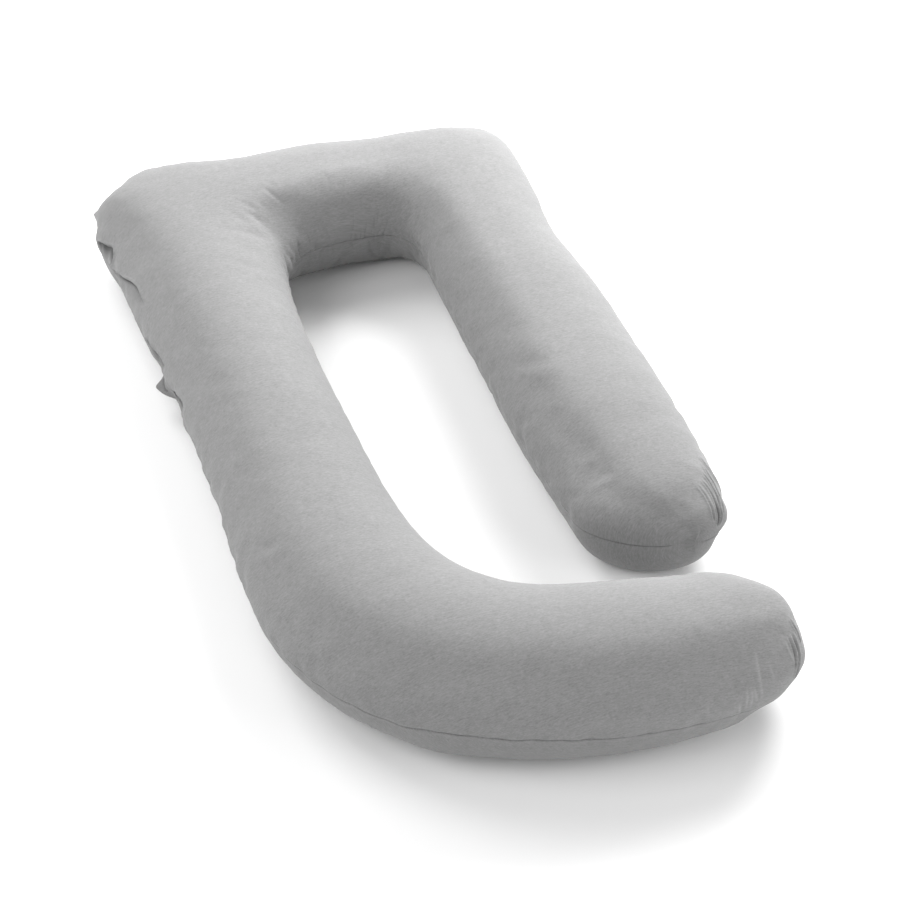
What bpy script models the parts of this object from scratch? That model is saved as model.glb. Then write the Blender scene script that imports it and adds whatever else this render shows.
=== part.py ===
"""Full-body support pillow, lying flat.

One long filled tube of jersey is bent into a lopsided U. A short leg, the head bar and a long leg run into
each other, and the long leg sweeps round at the foot into a curl that ends below the short leg. The cover is
a top and a bottom panel of the same outline, sewn together all round at half height. So the seam draws in
along both sides, and the cloth gathers where it closes round the two ends. The weight flattens the underside.

Metres. X runs across the pillow, with the short leg at +X. Y runs from the curl to the head bar. Z is up, and
the surface that the pillow lies on is at zero. The origin is under the middle of the pillow's outline.
"""

import math
from typing import NamedTuple

import bmesh
import bpy
import numpy as np

# ---- driving sizes -------------------------------------------------------------------------------------

SEAM_HEIGHT = 0.093      # from the underside to the seam between the two panels
LOWER_DEPTH = 0.108      # how far the bottom panel would bulge below the seam if nothing flattened it
SECTION_POWER = 2.15     # 2 is an ellipse, and more is a squarer tube
SEAM_DRAW = 0.004        # how far the seam pulls the tube's sides in

# The pillow in plan: a row for each section across the tube, from the short leg's end round the head bar and
# down the long leg to the curl's end. A section runs from the seam on the outer side to the seam on the inner
# side, and its crown is the height of its top above the underside.
SECTIONS = (
    # outer_x, outer_y, inner_x, inner_y, crown
    # short leg
    (0.390, -0.324, 0.156, -0.290, 0.175),
    (0.396, -0.180, 0.146, -0.170, 0.188),
    (0.394, 0.000, 0.142, 0.000, 0.192),
    (0.386, 0.190, 0.142, 0.170, 0.192),
    (0.372, 0.370, 0.142, 0.330, 0.193),
    # head bar, with its two corners
    (0.382, 0.520, 0.136, 0.420, 0.196),
    (0.362, 0.646, 0.106, 0.460, 0.198),
    (0.212, 0.668, 0.062, 0.470, 0.199),
    (0.032, 0.700, 0.016, 0.470, 0.199),
    (-0.134, 0.708, -0.028, 0.464, 0.200),
    (-0.290, 0.721, -0.068, 0.450, 0.201),
    (-0.384, 0.668, -0.094, 0.420, 0.201),
    # long leg
    (-0.386, 0.538, -0.108, 0.360, 0.200),
    (-0.374, 0.396, -0.114, 0.270, 0.200),
    (-0.360, 0.216, -0.114, 0.130, 0.198),
    (-0.350, 0.016, -0.108, -0.020, 0.196),
    (-0.350, -0.200, -0.098, -0.180, 0.196),
    # sweep round the foot, and curl
    (-0.340, -0.386, -0.078, -0.300, 0.198),
    (-0.274, -0.532, -0.038, -0.386, 0.200),
    (-0.158, -0.640, 0.026, -0.440, 0.200),
    (-0.014, -0.700, 0.102, -0.466, 0.200),
    (0.132, -0.724, 0.172, -0.480, 0.196),
    (0.246, -0.717, 0.242, -0.490, 0.184),
)
OUTER = slice(0, 2)
INNER = slice(2, 4)
CROWN = 4


class End(NamedTuple):
    """How the tube closes past its last section."""

    reach: float     # from the last section to the tip
    lean: float      # how far the tip lies towards the outer side


SHORT_LEG_END = End(reach=0.096, lean=0.052)
CURL_END = End(reach=0.130, lean=0.022)

# An end closes by the angle of a round nose, and these powers make it fuller than a plain round.
CLOSE_WIDTH_POWER = 0.90
CLOSE_HEIGHT_POWER = 0.75

# Pleats of gathered cloth that run into each tip, on the top panel.
PLEATS = 5
PLEAT_DEPTH = 0.05       # as a share of the section's own size
PLEAT_LENGTH = 0.10      # how far up the tube they fade out


class Fold(NamedTuple):
    """A loose fold of the cover that stands out on the outer side."""

    x: float             # middle of the fold
    y: float
    z: float
    stand_out: float
    half_length: float   # along Y
    half_height: float
    grip: float          # how far to either side of its middle it takes up cloth


FOLDS = (
    Fold(x=-0.335, y=0.250, z=0.026, stand_out=0.034, half_length=0.036, half_height=0.022, grip=0.080),
)

# ---- how finely the solid is faceted -------------------------------------------------------------------

STATION_STEP = 0.030     # between sections, along the outer side
SPLINE_SAMPLES = 40      # for each row of the table, to measure the outer side
CLOSING_STEPS = 10       # sections in each closed end, the tip counted
UPPER_STEPS = 20         # round the top panel, from seam to seam
LOWER_STEPS = 4          # from each seam down to the flat underside
CREASE_ANGLE = math.radians(50)

GREY_JERSEY = (0.50, 0.50, 0.51, 1.0)
JERSEY_ROUGHNESS = 0.90


class Section(NamedTuple):
    """One section across the tube."""

    outer: np.ndarray     # plan position of the seam on the outer side
    inner: np.ndarray     # plan position of the seam on the inner side
    rise: float           # from the seam up to the crown
    fullness: float       # 1 along the tube, falling to 0 at a tip
    from_tip: float       # distance to the nearer tip, along the tube

    @property
    def middle(self):
        return (self.outer + self.inner) / 2

    @property
    def half_width(self):
        return np.linalg.norm(self.outer - self.inner) / 2

    @property
    def outward(self):
        return (self.outer - self.inner) / (2 * self.half_width)


def clear_scene():
    """Remove every object that is already in the scene."""
    for thing in list(bpy.data.objects):
        bpy.data.objects.remove(thing, do_unlink=True)


# ---- plan ----------------------------------------------------------------------------------------------

def spline_bends(places, rows):
    """Second derivatives of the natural cubic spline through the rows."""
    steps = np.diff(places)
    matrix = np.eye(len(places))
    wanted = np.zeros_like(rows)
    for k in range(1, len(places) - 1):
        matrix[k, k - 1] = steps[k - 1]
        matrix[k, k] = 2 * (steps[k - 1] + steps[k])
        matrix[k, k + 1] = steps[k]
        slope_after = (rows[k + 1] - rows[k]) / steps[k]
        slope_before = (rows[k] - rows[k - 1]) / steps[k - 1]
        wanted[k] = 6 * (slope_after - slope_before)
    return np.linalg.solve(matrix, wanted)


def spline_at(places, rows, bends, place):
    """Value of the spline at one place."""
    k = int(np.clip(np.searchsorted(places, place, side="right") - 1, 0, len(places) - 2))
    step = places[k + 1] - places[k]
    back = (places[k + 1] - place) / step
    ahead = (place - places[k]) / step
    curve = ((back ** 3 - back) * bends[k] + (ahead ** 3 - ahead) * bends[k + 1]) * step ** 2 / 6
    return back * rows[k] + ahead * rows[k + 1] + curve


def length_along(points):
    """Running length along a line of points, starting at zero."""
    return np.concatenate(([0.0], np.cumsum(np.linalg.norm(np.diff(points, axis=0), axis=1))))


def tube_stations():
    """Rows of the table read off evenly along the outer side, with their places and the whole length."""
    table = np.array(SECTIONS)
    places = length_along((table[:, OUTER] + table[:, INNER]) / 2)
    bends = spline_bends(places, table)
    fine_places = np.linspace(0.0, places[-1], SPLINE_SAMPLES * len(table))
    fine_outer = [spline_at(places, table, bends, place)[OUTER] for place in fine_places]
    outer_length = length_along(fine_outer)
    count = int(round(outer_length[-1] / STATION_STEP)) + 1
    even_places = np.interp(np.linspace(0.0, outer_length[-1], count), outer_length, fine_places)
    rows = [spline_at(places, table, bends, place) for place in even_places]
    return rows, even_places, places[-1]


def closed_end(last, before, end):
    """Sections that close the tube past its last one, from there towards the tip, and the tip itself."""
    outward = last.outward
    ahead = last.middle - before.middle
    ahead = ahead - outward * ahead.dot(outward)
    ahead = ahead / np.linalg.norm(ahead)
    sections = []
    for step in range(1, CLOSING_STEPS):
        angle = math.pi / 2 * step / CLOSING_STEPS
        width = last.half_width * math.cos(angle) ** CLOSE_WIDTH_POWER
        fullness = math.cos(angle) ** CLOSE_HEIGHT_POWER
        from_tip = end.reach * (1 - math.sin(angle))
        centre = last.middle + ahead * (end.reach - from_tip) + outward * end.lean * (1 - math.cos(angle))
        sections.append(Section(centre + outward * width, centre - outward * width,
                                last.rise * fullness, fullness, from_tip))
    tip = last.middle + ahead * end.reach + outward * end.lean
    return sections, (tip[0], tip[1], SEAM_HEIGHT)


def pillow_sections():
    """All sections from the short leg's tip to the curl's tip, and the two tips."""
    rows, places, whole = tube_stations()
    tube = []
    for row, place in zip(rows, places):
        from_tip = min(place + SHORT_LEG_END.reach, whole - place + CURL_END.reach)
        tube.append(Section(row[OUTER], row[INNER], row[CROWN] - SEAM_HEIGHT, 1.0, from_tip))
    first_end, first_tip = closed_end(tube[0], tube[1], SHORT_LEG_END)
    last_end, last_tip = closed_end(tube[-1], tube[-2], CURL_END)
    return first_end[::-1] + tube + last_end, first_tip, last_tip


# ---- section -------------------------------------------------------------------------------------------

def squared_off(value):
    """A sine or cosine of the section's superellipse."""
    return math.copysign(abs(value) ** (2 / SECTION_POWER), value)


def pleat(angle, from_tip):
    """How far the gathered cloth sinks between pleats, as a share of the section's size."""
    wave = 0.5 - 0.5 * math.cos(2 * PLEATS * angle)
    return PLEAT_DEPTH * wave * math.exp(-(from_tip / PLEAT_LENGTH) ** 2)


def ring_angles():
    """Angles round a section: over the crown from the outer to the inner seam, and back underneath."""
    rests_at = math.asin((SEAM_HEIGHT / LOWER_DEPTH) ** (SECTION_POWER / 2))
    upper = [math.pi * step / UPPER_STEPS for step in range(UPPER_STEPS + 1)]
    below_inner = [math.pi + rests_at * step / LOWER_STEPS for step in range(1, LOWER_STEPS + 1)]
    below_outer = [2 * math.pi - rests_at * step / LOWER_STEPS for step in range(LOWER_STEPS, 0, -1)]
    return upper + below_inner + below_outer


def ring(section, angles):
    """Points round one section."""
    seams = (angles[0], angles[UPPER_STEPS])
    points = []
    for angle in angles:
        across = section.half_width * squared_off(math.cos(angle))
        up = squared_off(math.sin(angle))
        if angle in seams:
            across -= math.copysign(SEAM_DRAW * section.fullness, across)
            height = SEAM_HEIGHT
        elif up > 0:
            size = 1 - pleat(angle, section.from_tip)
            across *= size
            height = SEAM_HEIGHT + section.rise * up * size
        else:
            height = max(0.0, SEAM_HEIGHT + LOWER_DEPTH * section.fullness * up)
        if across > 0:
            across += fold_out(section.middle + section.outward * across, height)
        plan = section.middle + section.outward * across
        points.append((plan[0], plan[1], height))
    return points


def fold_out(plan, height):
    """How far a loose fold takes a point of the outer side out from the tube."""
    out = 0.0
    for fold in FOLDS:
        along = (plan[1] - fold.y) / fold.half_length
        up = (height - fold.z) / fold.half_height
        if abs(plan[0] - fold.x) < fold.grip:
            out += fold.stand_out * math.exp(-along ** 2 - up ** 2)
    return out


# ---- mesh ----------------------------------------------------------------------------------------------

def bridge(mesh, one, other):
    """Faces between two neighbouring rings of the same count."""
    for k in range(len(one)):
        after = (k + 1) % len(one)
        mesh.faces.new((one[k], one[after], other[after], other[k]))


def fan(mesh, loop, tip):
    """Faces from a ring to its tip."""
    for k in range(len(loop)):
        mesh.faces.new((loop[k], loop[(k + 1) % len(loop)], tip))


def filled_cover():
    """The filled cover as one closed mesh."""
    sections, first_tip, last_tip = pillow_sections()
    angles = ring_angles()
    mesh = bmesh.new()
    loops = [[mesh.verts.new(point) for point in ring(section, angles)] for section in sections]
    for one, other in zip(loops, loops[1:]):
        bridge(mesh, one, other)
    fan(mesh, loops[0], mesh.verts.new(first_tip))
    fan(mesh, loops[-1], mesh.verts.new(last_tip))
    bmesh.ops.recalc_face_normals(mesh, faces=mesh.faces[:])
    bmesh.ops.triangulate(mesh, faces=mesh.faces[:])
    return mesh


def grey_jersey():
    """Light heather grey jersey."""
    material = bpy.data.materials.new("grey_jersey")
    material.use_nodes = True
    shader = material.node_tree.nodes["Principled BSDF"]
    shader.inputs["Base Color"].default_value = GREY_JERSEY
    shader.inputs["Roughness"].default_value = JERSEY_ROUGHNESS
    shader.inputs["Metallic"].default_value = 0.0
    return material


def add_pillow():
    """The pillow as one object, shaded smooth but for the edge of its flat underside."""
    cover = filled_cover()
    data = bpy.data.meshes.new("pillow")
    cover.to_mesh(data)
    cover.free()
    data.shade_smooth()
    data.set_sharp_from_angle(angle=CREASE_ANGLE)
    data.materials.append(grey_jersey())
    bpy.context.scene.collection.objects.link(bpy.data.objects.new("pillow", data))


clear_scene()
add_pillow()
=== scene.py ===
"""Looks of the full-body support pillow: its filled jersey cover with its seam, gathers, creases and folds.

The cover is a grid of rings round the same sections that the solid has, finer by the seam and round each
crease. A cloth simulation fills it. The seam, creases and folds are then pressed into that surface.
"""

import math
from typing import NamedTuple

import bmesh
import bpy
import numpy as np
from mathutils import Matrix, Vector


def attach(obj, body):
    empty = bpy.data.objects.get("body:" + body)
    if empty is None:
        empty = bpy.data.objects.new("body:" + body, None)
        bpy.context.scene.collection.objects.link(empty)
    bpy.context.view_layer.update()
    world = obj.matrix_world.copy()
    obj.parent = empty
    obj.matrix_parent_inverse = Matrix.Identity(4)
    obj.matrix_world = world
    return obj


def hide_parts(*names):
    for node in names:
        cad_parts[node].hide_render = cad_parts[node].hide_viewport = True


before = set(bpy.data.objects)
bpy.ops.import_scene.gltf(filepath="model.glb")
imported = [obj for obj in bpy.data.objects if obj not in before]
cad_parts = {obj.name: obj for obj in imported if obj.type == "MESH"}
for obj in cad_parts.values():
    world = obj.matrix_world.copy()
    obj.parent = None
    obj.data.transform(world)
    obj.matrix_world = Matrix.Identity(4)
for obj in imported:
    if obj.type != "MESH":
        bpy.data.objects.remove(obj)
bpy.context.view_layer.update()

# ---- sizes of the solid, in metres ---------------------------------------------------------------------

SEAM_HEIGHT = 0.093         # from the underside to the seam between the two panels
LOWER_DEPTH = 0.108         # how far the bottom panel would bulge below the seam if nothing flattened it
SECTION_POWER = 2.15        # 2 is an ellipse, and more is a squarer tube
INSIDE_POWER = 4.8          # the same for the top's inner side where it is fullest

SECTIONS = np.array((
    # outer_x, outer_y, inner_x, inner_y, crown, and from 0 to 1 how full the top's inner side is
    # short leg
    (0.390, -0.324, 0.156, -0.290, 0.175, 0.00),
    (0.396, -0.180, 0.146, -0.170, 0.188, 0.14),
    (0.394, 0.000, 0.142, 0.000, 0.192, 0.28),
    (0.386, 0.190, 0.142, 0.170, 0.192, 0.28),
    (0.372, 0.370, 0.142, 0.330, 0.193, 0.35),
    # head bar, with its two corners
    (0.382, 0.520, 0.136, 0.420, 0.196, 0.70),
    (0.362, 0.646, 0.106, 0.460, 0.198, 1.00),
    (0.212, 0.668, 0.062, 0.470, 0.199, 1.00),
    (0.032, 0.700, 0.016, 0.470, 0.199, 1.00),
    (-0.134, 0.708, -0.028, 0.464, 0.200, 0.80),
    (-0.290, 0.721, -0.068, 0.450, 0.201, 0.45),
    (-0.384, 0.668, -0.094, 0.420, 0.201, 0.25),
    # long leg
    (-0.386, 0.538, -0.108, 0.360, 0.200, 0.10),
    (-0.374, 0.396, -0.114, 0.270, 0.200, 0.00),
    (-0.360, 0.216, -0.114, 0.130, 0.198, 0.00),
    (-0.350, 0.016, -0.108, -0.020, 0.196, 0.00),
    (-0.350, -0.200, -0.098, -0.180, 0.196, 0.00),
    # sweep round the foot, and curl
    (-0.340, -0.386, -0.078, -0.300, 0.198, 0.00),
    (-0.274, -0.532, -0.038, -0.386, 0.200, 0.00),
    (-0.158, -0.640, 0.026, -0.440, 0.200, 0.00),
    (-0.014, -0.700, 0.102, -0.466, 0.200, 0.00),
    (0.132, -0.724, 0.172, -0.480, 0.196, 0.00),
    (0.246, -0.717, 0.242, -0.490, 0.184, 0.00),
))
OUTER = slice(0, 2)
INNER = slice(2, 4)
CROWN = 4
FULLNESS = 5

SHORT_LEG_END = {"reach": 0.096, "lean": 0.052}
CURL_END = {"reach": 0.130, "lean": 0.022}
CLOSE_WIDTH_POWER = 0.90
CLOSE_HEIGHT_POWER = 0.75
EASING = 0.040              # length over which a closed end's fall begins

# ---- how fine the cover is -----------------------------------------------------------------------------

# steps along the tube and round it, sections in a closed end, and steps on each side of the seam
FINE = {"station": 0.0070, "ring": 0.0068, "close": 24,
        "seam": (0.0010, 0.0011, 0.0013, 0.0016, 0.0021, 0.0028, 0.0038, 0.0050)}
COARSE = {"station": 0.014, "ring": 0.014, "close": 12, "seam": (0.006, 0.010)}
FLAT_STEPS = 8              # across the flat underside
TOUCH_DOWN = 0.008          # height over which the side rolls onto the surface below
CREASE_ROOM = 0.014         # the mesh is refined this far round each crease
NEARBY = 0.03               # a crease has no effect further away than this

# ---- seam ----------------------------------------------------------------------------------------------

SEAM_GROOVE = {"depth": 0.0036, "width": 0.0015, "uneven_over": (0.03, 0.12)}
SEAM_SWELLS = {
    # swell of the cloth by its height over the seam: place, half-width, how far out
    "rim above the seam": (0.0050, 0.0030, 0.0006),
    "tuck below the seam": (-0.0090, 0.0080, -0.0012),
}
FRONT_SWELLS = {
    # the same, only where the cloth faces the front
    "flare above the seam": (0.0180, 0.0300, 0.0046),
    "hollow higher up": (0.0880, 0.0340, -0.0058),
}
FRONT = (-0.32, -0.95)      # the way that the front of the sweep and curl faces
SEAM_DIP = {
    # how far the outer seam of the sweep and curl dips, by the x of the outer edge
    "x": (-0.210, -0.175, -0.140, -0.030, 0.020, 0.065, 0.127, 0.150, 0.185, 0.225, 0.250, 0.400),
    "depth": (0.000, -0.006, -0.009, -0.009, -0.005, -0.002, 0.001, 0.003, 0.008, 0.012, 0.016, 0.020),
    "ahead_of_y": -0.60,
}
SEAM_PUCKER = {"depth": 0.0006, "reach": 0.016, "lengths": (0.010, 0.030), "comes_and_goes_over": (0.2, 0.5)}
STITCH = {"Pitch": 0.0042, "Length": 0.0028, "Thickness": 0.00045}

# ---- creases -------------------------------------------------------------------------------------------

class Crease(NamedTuple):
    """A line that is pressed into the cloth."""
    depth: float
    half_width: float
    shoulder: float         # how far the cloth beside it stands up
    path: tuple             # its middle line on the surface
    tuck: float = 0.0       # how far the cloth below it is drawn in
    dark: float = 0.0       # how dark the painted shade on the tucked cloth is
    line: float = 0.0       # how dark the painted shade in the crease is; at 0 its depth decides
    light: float = 0.0      # how light the painted highlight on the shoulders is
    fade: float = 0.1       # share of its length over which it comes in


CREASES = {
    # pleats that run along the outer edge of the short leg into its corner
    "pleat_1": Crease(0.0028, 0.0013, 0.0016, light=0.9, fade=0.6, path=(
        (0.365, -0.288, 0.149), (0.370, -0.306, 0.143), (0.376, -0.316, 0.136), (0.379, -0.325, 0.130),
        (0.383, -0.330, 0.120), (0.385, -0.336, 0.111), (0.385, -0.342, 0.104))),
    "pleat_2": Crease(0.0030, 0.0013, 0.0016, light=0.9, fade=0.6, path=(
        (0.362, -0.304, 0.150), (0.364, -0.324, 0.146), (0.366, -0.333, 0.143), (0.368, -0.341, 0.137),
        (0.369, -0.351, 0.134), (0.369, -0.360, 0.129), (0.366, -0.369, 0.126), (0.364, -0.377, 0.121),
        (0.361, -0.385, 0.117))),
    "pleat_3": Crease(0.0030, 0.0013, 0.0016, light=0.9, fade=0.6, path=(
        (0.353, -0.327, 0.154), (0.357, -0.335, 0.149), (0.360, -0.344, 0.144), (0.362, -0.353, 0.140),
        (0.363, -0.362, 0.135), (0.361, -0.373, 0.130), (0.358, -0.381, 0.126), (0.357, -0.388, 0.119),
        (0.355, -0.394, 0.113), (0.351, -0.400, 0.108))),
    "pleat_4": Crease(0.0028, 0.0013, 0.0014, light=0.9, fade=0.6, path=(
        (0.346, -0.341, 0.154), (0.350, -0.350, 0.149), (0.353, -0.358, 0.144), (0.355, -0.367, 0.139),
        (0.355, -0.376, 0.134), (0.354, -0.384, 0.129), (0.353, -0.391, 0.122), (0.351, -0.396, 0.116),
        (0.348, -0.401, 0.109))),
    "pleat_5": Crease(0.0010, 0.0014, 0.0012, light=0.9, fade=0.9, path=(
        (0.337, -0.352, 0.156), (0.340, -0.361, 0.152), (0.343, -0.370, 0.146), (0.345, -0.379, 0.141),
        (0.345, -0.387, 0.134), (0.344, -0.394, 0.127), (0.344, -0.400, 0.119))),
    # creases at the tip of the curl
    "tip_1": Crease(0.0042, 0.0021, 0.0014, light=0.8, fade=0.4, path=(
        (0.348, -0.656, 0.143), (0.350, -0.664, 0.136), (0.350, -0.671, 0.128), (0.349, -0.677, 0.119),
        (0.347, -0.682, 0.111), (0.345, -0.685, 0.102), (0.342, -0.688, 0.094), (0.338, -0.690, 0.085))),
    "tip_2": Crease(0.0019, 0.0015, 0.0012, light=0.8, fade=0.5, path=(
        (0.341, -0.662, 0.147), (0.342, -0.669, 0.140), (0.343, -0.676, 0.132), (0.342, -0.682, 0.121),
        (0.340, -0.687, 0.112), (0.337, -0.690, 0.104))),
    "tip_3": Crease(0.0022, 0.0013, 0.0012, light=0.8, fade=0.6, path=(
        (0.352, -0.636, 0.150), (0.356, -0.644, 0.143), (0.359, -0.650, 0.136), (0.360, -0.657, 0.129),
        (0.358, -0.664, 0.122))),
    # loose cloth down the outer side of the long leg: the cloth below each line is tucked in under it
    "side_1": Crease(0.0044, 0.0020, 0.0022, tuck=0.0050, dark=0.95, path=(
        (-0.395, 0.600, 0.098), (-0.390, 0.572, 0.114), (-0.385, 0.552, 0.121), (-0.379, 0.530, 0.129),
        (-0.378, 0.519, 0.123), (-0.381, 0.516, 0.112), (-0.383, 0.517, 0.104))),
    "side_2": Crease(0.0044, 0.0018, 0.0024, tuck=0.0022, dark=0.28, path=(
        (-0.384, 0.534, 0.098), (-0.383, 0.516, 0.101), (-0.381, 0.503, 0.103), (-0.378, 0.478, 0.111),
        (-0.375, 0.459, 0.117), (-0.371, 0.438, 0.126), (-0.365, 0.412, 0.135), (-0.362, 0.385, 0.138),
        (-0.361, 0.356, 0.136))),
    "side_3": Crease(0.0040, 0.0018, 0.0016, tuck=0.0010, dark=0.50, path=(
        (-0.366, 0.312, 0.104), (-0.365, 0.294, 0.107), (-0.363, 0.272, 0.109), (-0.360, 0.250, 0.112),
        (-0.358, 0.227, 0.116), (-0.357, 0.206, 0.119))),
    "side_4": Crease(0.0046, 0.0024, 0.0010, tuck=0.0014, dark=0.70, fade=0.4, path=(
        (-0.360, 0.232, 0.080), (-0.359, 0.206, 0.087), (-0.357, 0.180, 0.093), (-0.356, 0.161, 0.099),
        (-0.353, 0.140, 0.108), (-0.350, 0.124, 0.113), (-0.349, 0.110, 0.114), (-0.348, 0.098, 0.112))),
    "ear_1": Crease(0.0026, 0.0022, 0.0008, line=0.7, path=(
        (-0.360, 0.246, 0.064), (-0.359, 0.239, 0.062), (-0.358, 0.235, 0.060), (-0.357, 0.229, 0.059),
        (-0.356, 0.223, 0.057), (-0.355, 0.214, 0.058))),
    # gathers across the seam in the inner corner between the head bar and the short leg
    "corner_1": Crease(0.0014, 0.0032, 0.0010, line=0.10, path=(
        (0.152, 0.452, 0.158), (0.148, 0.439, 0.148), (0.144, 0.425, 0.128), (0.141, 0.418, 0.096))),
    "corner_2": Crease(0.0014, 0.0032, 0.0010, line=0.10, path=(
        (0.162, 0.443, 0.162), (0.157, 0.427, 0.154), (0.150, 0.410, 0.136), (0.145, 0.402, 0.100))),
    "corner_3": Crease(0.0014, 0.0030, 0.0010, line=0.10, path=(
        (0.169, 0.430, 0.166), (0.166, 0.413, 0.160), (0.157, 0.392, 0.146), (0.148, 0.382, 0.110))),
    "corner_4": Crease(0.0016, 0.0024, 0.0014, line=0.15, path=(
        (0.200, 0.400, 0.182), (0.197, 0.388, 0.181), (0.194, 0.376, 0.179), (0.184, 0.362, 0.174))),
}

# tension lines that stand up slightly: height, half-width and middle line
RIDGES = {
    "curl_1": (0.0014, 0.0022, (
        (0.279, -0.680, 0.157), (0.279, -0.691, 0.150), (0.277, -0.702, 0.137), (0.276, -0.709, 0.123),
        (0.276, -0.713, 0.107), (0.276, -0.715, 0.093))),
    "curl_2": (0.0012, 0.0022, (
        (0.295, -0.690, 0.144), (0.297, -0.699, 0.129), (0.299, -0.706, 0.108))),
    "curl_3": (0.0014, 0.0022, (
        (0.254, -0.712, 0.125), (0.253, -0.716, 0.112), (0.253, -0.717, 0.097), (0.255, -0.715, 0.078))),
    "curl_4": (0.0010, 0.0022, (
        (0.192, -0.718, 0.122), (0.192, -0.720, 0.106), (0.195, -0.719, 0.088))),
    "curl_5": (0.0014, 0.0020, (
        (0.261, -0.711, 0.125), (0.261, -0.715, 0.112), (0.260, -0.716, 0.096), (0.260, -0.716, 0.083))),
    "curl_6": (0.0012, 0.0020, (
        (0.240, -0.718, 0.109), (0.242, -0.717, 0.092), (0.246, -0.714, 0.070))),
    "curl_7": (0.0010, 0.0020, (
        (0.266, -0.712, 0.121), (0.267, -0.715, 0.108), (0.270, -0.716, 0.094))),
    "tip_1": (0.0012, 0.0015, (
        (0.345, -0.663, 0.142), (0.346, -0.669, 0.135), (0.346, -0.675, 0.127), (0.345, -0.680, 0.120),
        (0.344, -0.684, 0.112))),
    "tip_2": (0.0012, 0.0016, (
        (0.335, -0.669, 0.146), (0.334, -0.675, 0.140), (0.335, -0.681, 0.131), (0.337, -0.686, 0.121),
        (0.338, -0.688, 0.112))),
}
RIDGE_LIGHT = 0.45          # how light a ridge's painted highlight is, against 1 for the painted shade of the deepest creases
TUCK_REACH = 0.016          # height of the cloth that is tucked in below a crease
FULLY_DARK = 0.003          # a crease this deep gets the full painted shade

# where the cloth stands further out or lies further in: middle, how far out, and over what distance
BUMPS = {
    "cut head corner": ((-0.376, 0.688, 0.125), -0.0055, 0.034),
    "slack by the head corner": ((-0.395, 0.642, 0.093), -0.0125, 0.018),
    "slack over it": ((-0.392, 0.620, 0.112), -0.0085, 0.019),
    "nub of the head corner": ((-0.388, 0.661, 0.112), 0.0078, 0.009),
    "side below the first fold": ((-0.391, 0.596, 0.061), -0.0030, 0.020),
    "corner of the short leg": ((0.369, -0.376, 0.104), 0.0048, 0.020),
    "tip of the curl": ((0.366, -0.664, 0.092), 0.0046, 0.024),
    "far side of the curl's end": ((0.352, -0.590, 0.149), 0.0065, 0.035),
    "front of the curl's end": ((0.234, -0.705, 0.040), 0.0028, 0.040),
    "front of the sweep": ((-0.168, -0.618, 0.045), 0.0050, 0.040),
    "dip in the head bar": ((-0.145, 0.685, 0.172), -0.0045, 0.055),
    "full inside of the head bar": ((0.030, 0.490, 0.172), 0.0080, 0.060),
    "full inside of the right corner": ((0.095, 0.478, 0.172), 0.0080, 0.055),
    "rise in the head bar": ((0.180, 0.630, 0.180), 0.0040, 0.060),
    "far edge of the head corner": ((-0.285, 0.690, 0.163), 0.0038, 0.034),
    "far edge of the other corner": ((0.300, 0.622, 0.174), -0.0028, 0.034),
    "side over the slack corner": ((-0.353, 0.674, 0.146), -0.0032, 0.026),
    "side of the short leg": ((0.370, 0.430, 0.130), 0.0040, 0.070),
    "side of the long leg": ((-0.349, -0.104, 0.090), -0.0035, 0.030),
    "end of the short leg": ((0.365, -0.385, 0.072), -0.0055, 0.017),
    "low on the curl's end": ((0.286, -0.701, 0.041), -0.0045, 0.022),
    "foot of the loose fold": ((-0.346, 0.206, 0.039), -0.0045, 0.014),
    "side over the first fold": ((-0.388, 0.598, 0.131), -0.0050, 0.010),
    "side behind the loose fold": ((-0.358, 0.243, 0.085), -0.0080, 0.022),
    "foot of the side behind it": ((-0.355, 0.272, 0.058), -0.0080, 0.018),
    "side ahead of the loose fold": ((-0.356, 0.146, 0.088), -0.0080, 0.022),
    "foot of the side ahead of it": ((-0.350, 0.180, 0.058), -0.0080, 0.018),
    "side further along": ((-0.350, 0.122, 0.055), 0.0045, 0.018),
}

# a loose fold of the lower panel, which stands out of the side
EAR = {
    "side_x": -0.27,                # the cloth further out than this is the leg's outer side
    "middle": (0.2445, 0.048),      # y and z
    "behind": 0.0075,               # how far it reaches along the side, behind and ahead of its middle
    "ahead": 0.038,
    "half_height": 0.012,
    "out": 0.021,
    "droop": 0.002,
    "blunt": 0.003,
    # painted shade on the loose fold
    "dark": 0.38,
}
EAR_PATH = ((-0.366, 0.262, 0.048), (-0.363, 0.235, 0.048), (-0.360, 0.210, 0.048), (-0.358, 0.185, 0.048))

WIDE_SWELL = {"height": 0.0012, "lengths": (0.12, 0.40)}
GROUNDED = 0.03             # below this height all but the loose fold fades into the flat underside

# ---- filling -------------------------------------------------------------------------------------------

INNER_CORNERS = ((0.120, 0.440, 0.25), (-0.090, 0.425, 0.70))     # x, y, how slack
SLACK = {"most": 0.055, "seam": 0.10, "seam_reach": 0.045, "corner_reach": 0.10, "end": 0.55}
START_SWELL = {"height": 0.0006, "lengths": (0.03, 0.09)}
HELD_BELOW = 0.004          # cloth lower than this lies still
CLOTH = {
    "quality": 6,
    "mass": 0.3,
    "tension_stiffness": 15,
    "compression_stiffness": 15,
    "shear_stiffness": 5,
    "bending_stiffness": 0.2,
    "use_pressure": True,
    "uniform_pressure_force": 4.0,
}
LAST_FRAME = 20
RIPPLE_CAP = 0.0035         # the simulation moves no point further than this
RIPPLE_BLUR = 3.0           # points of the rough grid over which a general swelling is taken off

# ---- jersey --------------------------------------------------------------------------------------------

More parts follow.
